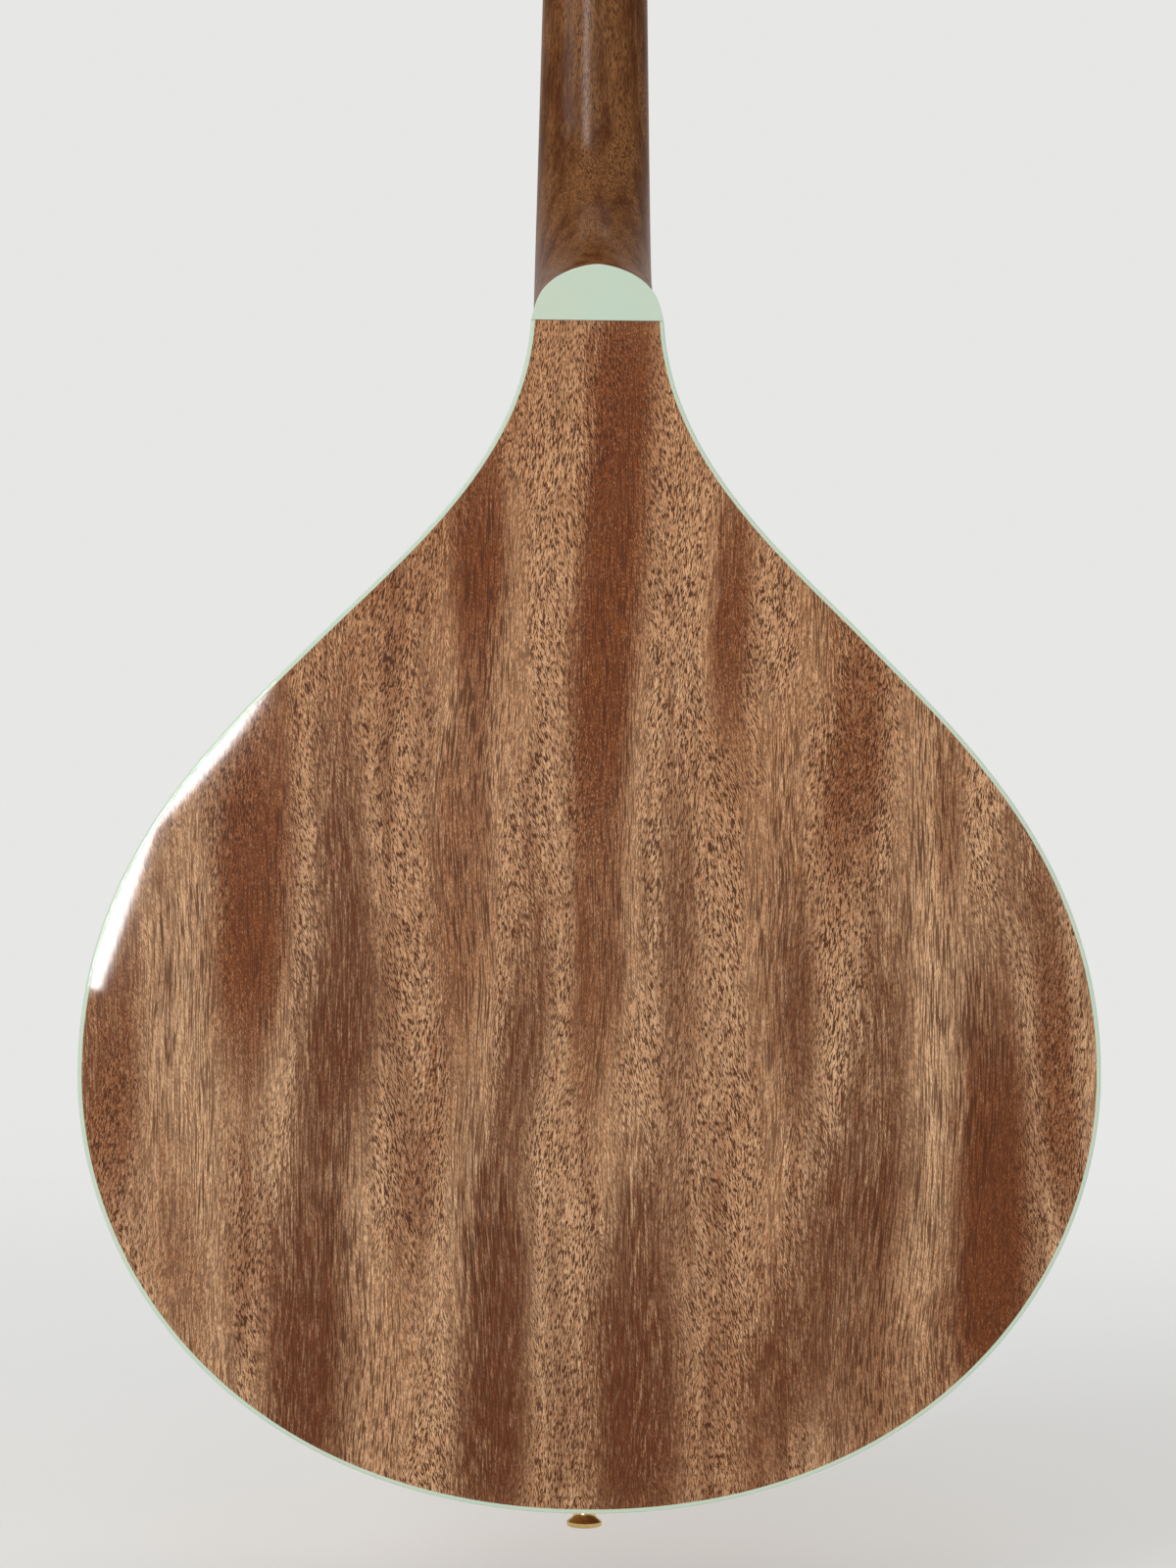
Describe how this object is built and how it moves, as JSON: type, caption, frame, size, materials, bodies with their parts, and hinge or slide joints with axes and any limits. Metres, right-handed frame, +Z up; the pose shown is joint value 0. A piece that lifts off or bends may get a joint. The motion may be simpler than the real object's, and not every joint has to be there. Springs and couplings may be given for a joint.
{
  "type": "octave mandolin",
  "caption": "Flat-top octave mandolin with a pear-shaped mahogany body, pale binding, worm-geared tuners and a floating bridge.",
  "frame": {"origin": "the nut's string edge on the centreline, in the plane of the soundboard's front", "axes": "+Z up along the neck to the headstock, +Y out of the soundboard towards the strings, +X to the bass side"},
  "size_m": [0.36, 0.1017, 0.9027],
  "materials": {
    "mahogany": "satin gloss lacquer",
    "neck_wood": "satin lacquer",
    "spruce": "satin gloss lacquer",
    "rosewood": "oiled",
    "binding": "gloss",
    "bone": "polished",
    "chrome": "polished",
    "brass": "polished",
    "steel": "plain",
    "key_buttons": "gloss buttons on steel worm shafts",
    "bronze_string": "wound",
    "steel_string": "plain"
  },
  "bodies": {
    "instrument": {"back_binding": "binding", "back_brace_lower": "spruce", "back_brace_middle": "spruce", "back_brace_upper": "spruce", "back_plate": "mahogany", "bridge_base": "rosewood", "fingerboard": "rosewood", "fingerboard_binding": "binding", "headplate": "rosewood", "heel_block": "neck_wood", "heel_cap": "binding", "lining_back_bass": "mahogany", "lining_back_treble": "mahogany", "lining_top_bass": "mahogany", "lining_top_treble": "mahogany", "neck": "neck_wood", "neck_block": "mahogany", "nut": "bone", "rib_bass": "mahogany", "rib_treble": "mahogany", "strap_button": "brass", "string_1": "bronze_string", "string_2": "bronze_string", "string_3": "bronze_string", "string_4": "bronze_string", "string_5": "steel_string", "string_6": "steel_string", "string_7": "steel_string", "string_8": "steel_string", "tail_block": "mahogany", "tailpiece": "chrome", "top_binding": "binding", "top_brace_lower": "spruce", "top_brace_middle": "spruce", "top_brace_upper": "spruce", "top_plate": "spruce", "truss_rod": "steel", "tuner_plate_bass": "chrome", "tuner_plate_treble": "chrome"},
    "saddle": {"bridge_saddle": "rosewood"},
    "rod_nut": {"truss_rod_nut": "brass"},
    "thumbwheel_bass": {"thumbwheel_bass": "brass"},
    "thumbwheel_treble": {"thumbwheel_treble": "brass"},
    "tuner_post_bass_1": {"tuner_post_bass_1": "chrome"},
    "tuner_key_bass_1": {"tuner_key_bass_1": "key_buttons"},
    "tuner_post_bass_2": {"tuner_post_bass_2": "chrome"},
    "tuner_key_bass_2": {"tuner_key_bass_2": "key_buttons"},
    "tuner_post_bass_3": {"tuner_post_bass_3": "chrome"},
    "tuner_key_bass_3": {"tuner_key_bass_3": "key_buttons"},
    "tuner_post_bass_4": {"tuner_post_bass_4": "chrome"},
    "tuner_key_bass_4": {"tuner_key_bass_4": "key_buttons"},
    "tuner_post_treble_1": {"tuner_post_treble_1": "chrome"},
    "tuner_key_treble_1": {"tuner_key_treble_1": "key_buttons"},
    "tuner_post_treble_2": {"tuner_post_treble_2": "chrome"},
    "tuner_key_treble_2": {"tuner_key_treble_2": "key_buttons"},
    "tuner_post_treble_3": {"tuner_post_treble_3": "chrome"},
    "tuner_key_treble_3": {"tuner_key_treble_3": "key_buttons"},
    "tuner_post_treble_4": {"tuner_post_treble_4": "chrome"},
    "tuner_key_treble_4": {"tuner_key_treble_4": "key_buttons"}
  },
  "joints": [
    {"name": "saddle_height", "type": "slide", "parent": "instrument", "child": "saddle", "axis": [0, 1, 0], "range_m": [-0.002, 0]},
    {"name": "rod_nut_turn", "type": "hinge", "parent": "instrument", "child": "rod_nut", "pos_m": [0, -0.0055, 0.0056], "axis": [0, 0, 1], "range_deg": [-180, 180]},
    {"name": "thumbwheel_bass_turn", "type": "hinge", "parent": "saddle", "child": "thumbwheel_bass", "pos_m": [0.028, 0.0075, -0.533], "axis": [0, 1, 0], "range_deg": [-901, 1]},
    {"name": "thumbwheel_treble_turn", "type": "hinge", "parent": "saddle", "child": "thumbwheel_treble", "pos_m": [-0.028, 0.0075, -0.533], "axis": [0, 1, 0], "range_deg": [-901, 1]},
    {"name": "tuner_post_bass_1_turn", "type": "hinge", "parent": "instrument", "child": "tuner_post_bass_1", "pos_m": [0.021, -0.00998, 0.05195], "axis": [0, 0.9781, 0.2079], "continuous": true},
    {"name": "tuner_key_bass_1_turn", "type": "hinge", "parent": "instrument", "child": "tuner_key_bass_1", "pos_m": [0.021, -0.02756, 0.04039], "axis": [1, 0, 0], "continuous": true},
    {"name": "tuner_post_bass_2_turn", "type": "hinge", "parent": "instrument", "child": "tuner_post_bass_2", "pos_m": [0.021, -0.01476, 0.07445], "axis": [0, 0.9781, 0.2079], "continuous": true},
    {"name": "tuner_key_bass_2_turn", "type": "hinge", "parent": "instrument", "child": "tuner_key_bass_2", "pos_m": [0.021, -0.03234, 0.06289], "axis": [1, 0, 0], "continuous": true},
    {"name": "tuner_post_bass_3_turn", "type": "hinge", "parent": "instrument", "child": "tuner_post_bass_3", "pos_m": [0.021, -0.01954, 0.09695], "axis": [0, 0.9781, 0.2079], "continuous": true},
    {"name": "tuner_key_bass_3_turn", "type": "hinge", "parent": "instrument", "child": "tuner_key_bass_3", "pos_m": [0.021, -0.03712, 0.08539], "axis": [1, 0, 0], "continuous": true},
    {"name": "tuner_post_bass_4_turn", "type": "hinge", "parent": "instrument", "child": "tuner_post_bass_4", "pos_m": [0.021, -0.02433, 0.11944], "axis": [0, 0.9781, 0.2079], "continuous": true},
    {"name": "tuner_key_bass_4_turn", "type": "hinge", "parent": "instrument", "child": "tuner_key_bass_4", "pos_m": [0.021, -0.04191, 0.10789], "axis": [1, 0, 0], "continuous": true},
    {"name": "tuner_post_treble_1_turn", "type": "hinge", "parent": "instrument", "child": "tuner_post_treble_1", "pos_m": [-0.021, -0.00998, 0.05195], "axis": [0, 0.9781, 0.2079], "continuous": true},
    {"name": "tuner_key_treble_1_turn", "type": "hinge", "parent": "instrument", "child": "tuner_key_treble_1", "pos_m": [-0.021, -0.02756, 0.04039], "axis": [1, 0, 0], "continuous": true},
    {"name": "tuner_post_treble_2_turn", "type": "hinge", "parent": "instrument", "child": "tuner_post_treble_2", "pos_m": [-0.021, -0.01476, 0.07445], "axis": [0, 0.9781, 0.2079], "continuous": true},
    {"name": "tuner_key_treble_2_turn", "type": "hinge", "parent": "instrument", "child": "tuner_key_treble_2", "pos_m": [-0.021, -0.03234, 0.06289], "axis": [1, 0, 0], "continuous": true},
    {"name": "tuner_post_treble_3_turn", "type": "hinge", "parent": "instrument", "child": "tuner_post_treble_3", "pos_m": [-0.021, -0.01954, 0.09695], "axis": [0, 0.9781, 0.2079], "continuous": true},
    {"name": "tuner_key_treble_3_turn", "type": "hinge", "parent": "instrument", "child": "tuner_key_treble_3", "pos_m": [-0.021, -0.03712, 0.08539], "axis": [1, 0, 0], "continuous": true},
    {"name": "tuner_post_treble_4_turn", "type": "hinge", "parent": "instrument", "child": "tuner_post_treble_4", "pos_m": [-0.021, -0.02433, 0.11944], "axis": [0, 0.9781, 0.2079], "continuous": true},
    {"name": "tuner_key_treble_4_turn", "type": "hinge", "parent": "instrument", "child": "tuner_key_treble_4", "pos_m": [-0.021, -0.04191, 0.10789], "axis": [1, 0, 0], "continuous": true}
  ],
  "couplings": [
    {"joint": "thumbwheel_bass_turn", "follows": "saddle_height", "rad_per_m": 7854},
    {"joint": "thumbwheel_treble_turn", "follows": "saddle_height", "rad_per_m": 7854},
    {"joint": "tuner_post_bass_1_turn", "follows": "tuner_key_bass_1_turn", "ratio": -0.071429},
    {"joint": "tuner_post_bass_2_turn", "follows": "tuner_key_bass_2_turn", "ratio": -0.071429},
    {"joint": "tuner_post_bass_3_turn", "follows": "tuner_key_bass_3_turn", "ratio": -0.071429},
    {"joint": "tuner_post_bass_4_turn", "follows": "tuner_key_bass_4_turn", "ratio": -0.071429},
    {"joint": "tuner_post_treble_1_turn", "follows": "tuner_key_treble_1_turn", "ratio": -0.071429},
    {"joint": "tuner_post_treble_2_turn", "follows": "tuner_key_treble_2_turn", "ratio": -0.071429},
    {"joint": "tuner_post_treble_3_turn", "follows": "tuner_key_treble_3_turn", "ratio": -0.071429},
    {"joint": "tuner_post_treble_4_turn", "follows": "tuner_key_treble_4_turn", "ratio": -0.071429}
  ]
}
